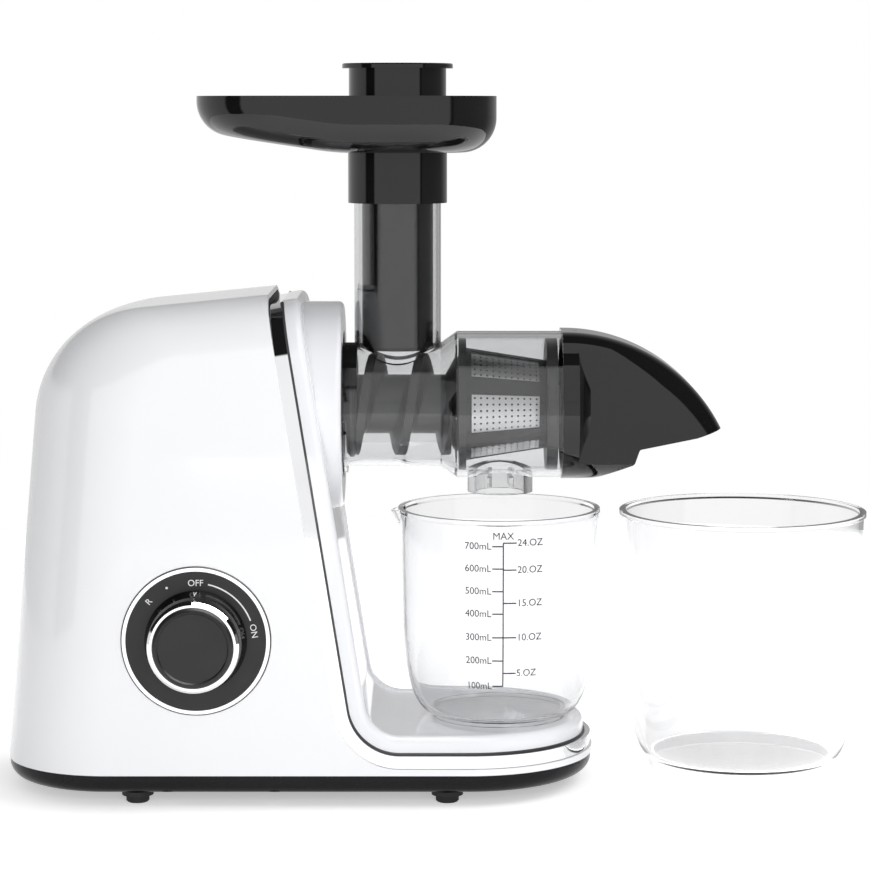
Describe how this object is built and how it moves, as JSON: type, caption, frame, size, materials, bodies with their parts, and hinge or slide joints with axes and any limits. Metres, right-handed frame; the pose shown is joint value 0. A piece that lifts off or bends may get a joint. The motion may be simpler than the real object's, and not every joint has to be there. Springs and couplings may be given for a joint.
{
  "type": "cold press juicer",
  "caption": "Horizontal slow juicer with a side drum, feed chute and tray, pusher, pulp nozzle, rotary dial, clear juice jug and clear pulp cup.",
  "frame": {"origin": "on the counter, below the middle of the whole set (machine, jug and pulp cup)", "axes": "+X from the motor end to the pulp end, the longest extent; -Y is the dial side; -Z points into the counter that the feet stand on"},
  "size_m": [0.483, 0.19, 0.401],
  "materials": {
    "white_gloss": "gloss",
    "white_panel": "gloss",
    "chrome_trim": "polished",
    "black_gloss": "gloss",
    "black_matte": "matte",
    "dark_plate": "satin",
    "rubber": "matte",
    "clear": "clear",
    "steel": "satin",
    "mesh_steel": "satin",
    "iron": "satin",
    "magnet": "matte",
    "copper": "satin",
    "carbon": "matte",
    "gear_nylon": "satin",
    "case_nylon": "matte",
    "board_green": "satin",
    "silicone": "matte"
  },
  "bodies": {
    "machine": {"main_housing": "white_gloss", "chrome_trim": "chrome_trim", "front_panel": "white_panel", "hub_collar": "white_panel", "drum_socket": "black_matte", "socket_screws": "steel", "shaft_seal": "rubber", "base_plate": "black_gloss", "rubber_feet": "rubber", "foot_screws": "steel", "base_screws": "steel", "cord_gland": "rubber", "dial_bezel": "chrome_trim", "dial_plate": "dark_plate", "rotary_switch": "black_matte", "switch_nut": "steel", "motor_can": "steel", "motor_magnets": "magnet", "motor_front_cap": "steel", "motor_rear_cap": "steel", "motor_bearings": "copper", "brush_holders": "black_matte", "carbon_brushes": "carbon", "motor_screws": "steel", "motor_cradle": "case_nylon", "motor_mount_pads": "rubber", "gearbox_case": "case_nylon", "gearbox_cover": "case_nylon", "gearbox_screws": "steel", "gear_axles": "steel", "output_bearings": "copper", "circuit_board": "board_green", "board_screws": "steel", "board_parts": "black_matte"},
    "control_knob": {"knob_skirt": "black_gloss", "knob_ring": "chrome_trim", "knob_cap": "dark_plate", "switch_spindle": "steel"},
    "motor_rotor": {"rotor_shaft": "steel", "armature_core": "iron", "armature_windings": "copper", "commutator": "copper", "cooling_fan": "black_matte"},
    "first_reduction": {"first_gear": "gear_nylon"},
    "second_reduction": {"second_gear": "gear_nylon"},
    "output_drive": {"output_gear": "gear_nylon", "output_shaft": "steel"},
    "lock_ring": {"drum_lock_ring": "black_gloss"},
    "drum": {"juicing_drum": "clear", "drum_seal": "silicone", "strainer": "dark_plate", "strainer_mesh": "mesh_steel"},
    "auger_screw": {"auger": "dark_plate", "auger_drive_socket": "steel"},
    "nozzle": {"pulp_nozzle": "black_gloss", "nozzle_seal": "silicone"},
    "tray": {"feed_tray": "black_gloss"},
    "feed_pusher": {"pusher": "black_gloss"},
    "jug": {"juice_jug": "clear"},
    "cup": {"pulp_cup": "clear"}
  },
  "joints": [
    {"name": "knob_turn", "type": "hinge", "parent": "machine", "child": "control_knob", "pos_m": [-0.1316, -0.08, 0.0909], "axis": [0, 1, 0], "range_deg": [-50, 80]},
    {"name": "output_turn", "type": "hinge", "parent": "machine", "child": "output_drive", "pos_m": [-0.12, 0, 0.2115], "axis": [1, 0, 0], "continuous": true},
    {"name": "second_turn", "type": "hinge", "parent": "machine", "child": "second_reduction", "pos_m": [-0.12, -0.01447, 0.16416], "axis": [1, 0, 0], "continuous": true},
    {"name": "first_turn", "type": "hinge", "parent": "machine", "child": "first_reduction", "pos_m": [-0.12, 0.01847, 0.13934], "axis": [1, 0, 0], "continuous": true},
    {"name": "rotor_turn", "type": "hinge", "parent": "machine", "child": "motor_rotor", "pos_m": [-0.12, 0.00002, 0.11198], "axis": [1, 0, 0], "continuous": true},
    {"name": "lock_turn", "type": "hinge", "parent": "machine", "child": "lock_ring", "pos_m": [-0.058, 0, 0.2115], "axis": [-1, 0, 0], "range_deg": [0, 45]},
    {"name": "drum_pull", "type": "slide", "parent": "lock_ring", "child": "drum", "axis": [1, 0, 0], "range_m": [0, 0.15]},
    {"name": "auger_pull", "type": "slide", "parent": "output_drive", "child": "auger_screw", "axis": [1, 0, 0], "range_m": [0, 0.15]},
    {"name": "nozzle_turn", "type": "hinge", "parent": "drum", "child": "nozzle", "pos_m": [0.067, 0, 0.2115], "axis": [1, 0, 0], "range_deg": [0, 60]},
    {"name": "tray_lift", "type": "slide", "parent": "drum", "child": "tray", "axis": [0, 0, 1], "range_m": [0, 0.06]},
    {"name": "pusher_lift", "type": "slide", "parent": "tray", "child": "feed_pusher", "axis": [0, 0, 1], "range_m": [0, 0.16]},
    {"name": "jug_slide", "type": "slide", "parent": "machine", "child": "jug", "axis": [0, -0.9976, 0.0698], "range_m": [0, 0.16]},
    {"name": "cup_slide", "type": "slide", "parent": "machine", "child": "cup", "axis": [0.9976, 0, 0.0698], "range_m": [0, 0.15]}
  ],
  "couplings": [
    {"joint": "second_turn", "follows": "output_turn", "ratio": -4.5},
    {"joint": "first_turn", "follows": "output_turn", "ratio": 20.25},
    {"joint": "rotor_turn", "follows": "output_turn", "ratio": -91.125},
    {"joint": "auger_pull", "follows": "drum_pull", "ratio": 1}
  ]
}
